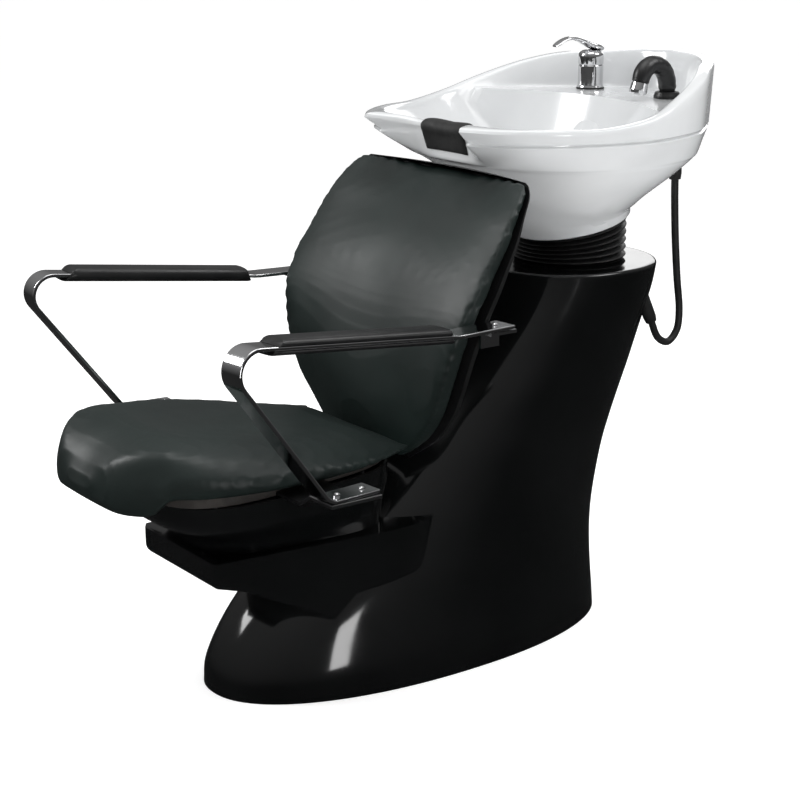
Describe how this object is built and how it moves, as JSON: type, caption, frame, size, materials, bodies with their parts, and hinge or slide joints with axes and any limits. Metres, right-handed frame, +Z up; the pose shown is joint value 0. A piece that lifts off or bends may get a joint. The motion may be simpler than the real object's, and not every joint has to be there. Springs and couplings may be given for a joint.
{
  "type": "shampoo backwash unit",
  "caption": "Salon shampoo seat: padded seat and back with loop arms on a moulded pedestal that carries a tilting ceramic wash bowl with mixer tap and hand spray.",
  "frame": {"origin": "on the floor, at the centre of the pedestal's footprint", "axes": "+Z up; the sitter faces -Y and the bowl is at +Y; +X is the side of the hand spray, the sitter's left"},
  "size_m": [0.669, 1.213, 0.9997],
  "materials": {
    "gloss_black": "moulded gloss black",
    "upholstery": "black vinyl, leather grain",
    "ceramic": "white glaze",
    "chrome": "polished",
    "steel": "primer",
    "soft_rubber": "matt",
    "black_plastic": "satin black",
    "outrigger": "satin black",
    "board": "black stained plywood",
    "brass": "plain"
  },
  "bodies": {
    "chassis": {"arm_bar_left": "chrome", "arm_bar_right": "chrome", "arm_bracket_left": "chrome", "arm_bracket_right": "chrome", "arm_foot_bolt_front_left": "chrome", "arm_foot_bolt_front_right": "chrome", "arm_foot_bolt_rear_left": "chrome", "arm_foot_bolt_rear_right": "chrome", "arm_outrigger": "outrigger", "arm_pad_left": "black_plastic", "arm_pad_right": "black_plastic", "arm_rear_bolt_left": "chrome", "arm_rear_bolt_right": "chrome", "back_bracket": "steel", "back_cushion": "upholstery", "back_shell": "black_plastic", "bellows": "soft_rubber", "column": "steel", "floor_plate": "steel", "hose_grommet": "soft_rubber", "pedestal_shell": "gloss_black", "rear_panel": "gloss_black", "seat_beam": "steel", "seat_board": "board", "seat_cushion": "upholstery", "seat_pan": "gloss_black", "seat_riser": "steel", "seat_tray": "gloss_black", "spray_hose": "soft_rubber", "tilt_mount": "steel", "tilt_pin": "steel", "top_plate": "steel"},
    "bowl": {"bowl": "ceramic", "neck_rest": "soft_rubber", "tilt_head": "steel", "mixer_gasket": "soft_rubber", "mixer_body": "chrome", "mixer_nut": "brass", "spray_socket": "chrome", "hose_gland": "soft_rubber", "drain_flange": "chrome"},
    "mixer_cap": {"mixer_cap": "chrome"},
    "mixer_lever": {"mixer_lever": "chrome"},
    "spray": {"spray_head": "black_plastic", "spray_nozzle": "chrome"},
    "strainer": {"strainer": "chrome"}
  },
  "joints": [
    {"name": "bowl_tilt", "type": "hinge", "parent": "chassis", "child": "bowl", "pos_m": [0, 0.353, 0.655], "axis": [-1, 0, 0], "range_deg": [0, 12], "deforming": ["bellows", "spray_hose"]},
    {"name": "mixer_turn", "type": "hinge", "parent": "bowl", "child": "mixer_cap", "pos_m": [-0.1, 0.483, 0.93], "axis": [0, 0, 1], "range_deg": [-45, 45]},
    {"name": "mixer_lift", "type": "hinge", "parent": "mixer_cap", "child": "mixer_lever", "pos_m": [-0.1, 0.494, 0.9793], "axis": [-1, 0, 0], "range_deg": [0, 25]},
    {"name": "spray_lift", "type": "slide", "parent": "bowl", "child": "spray", "axis": [0, 0, 1], "range_m": [0, 0.15]},
    {"name": "strainer_lift", "type": "slide", "parent": "bowl", "child": "strainer", "axis": [0, 0, 1], "range_m": [0, 0.15]}
  ]
}
